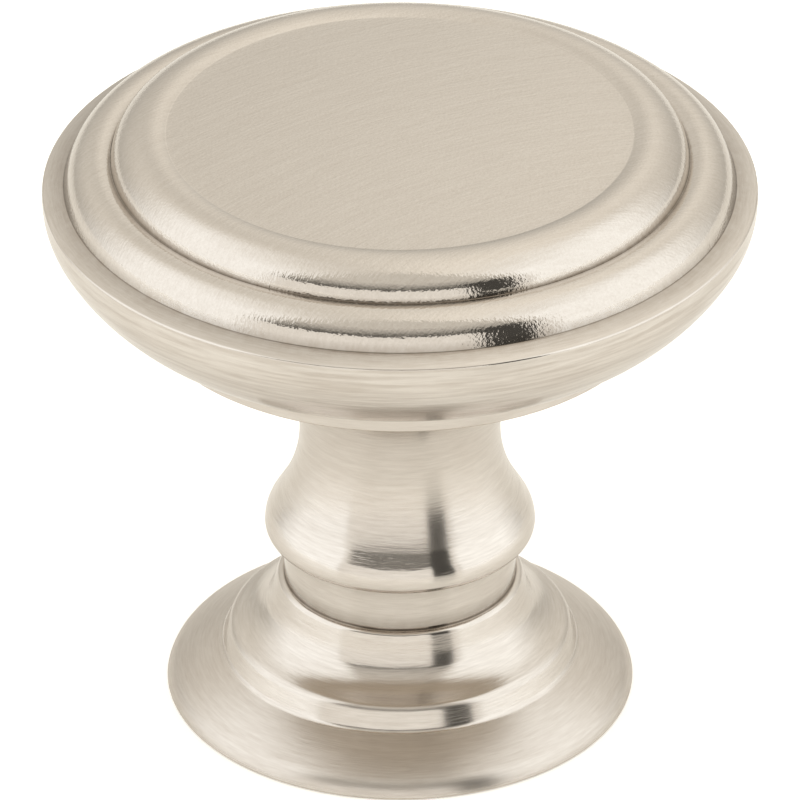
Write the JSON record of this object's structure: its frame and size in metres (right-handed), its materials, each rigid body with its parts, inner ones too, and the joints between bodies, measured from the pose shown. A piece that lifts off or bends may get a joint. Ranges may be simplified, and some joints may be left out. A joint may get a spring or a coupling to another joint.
{
  "type": "cabinet knob",
  "caption": "Round turned cabinet knob: stepped head with a flat disc on top, waisted neck with a bead, and a tiered round foot with a blind tapped hole in its back.",
  "frame": {"origin": "centre of the foot's back face, on the plane that bears on the door", "axes": "+Z along the knob's axis, from the foot to the head; X and Y are alike, because the knob is a body of revolution"},
  "size_m": [0.0382, 0.038, 0.0344],
  "materials": {
    "satin_nickel": "brushed satin nickel plate, warm grey"
  },
  "bodies": {
    "root": {"knob": "satin_nickel"}
  },
  "joints": []
}
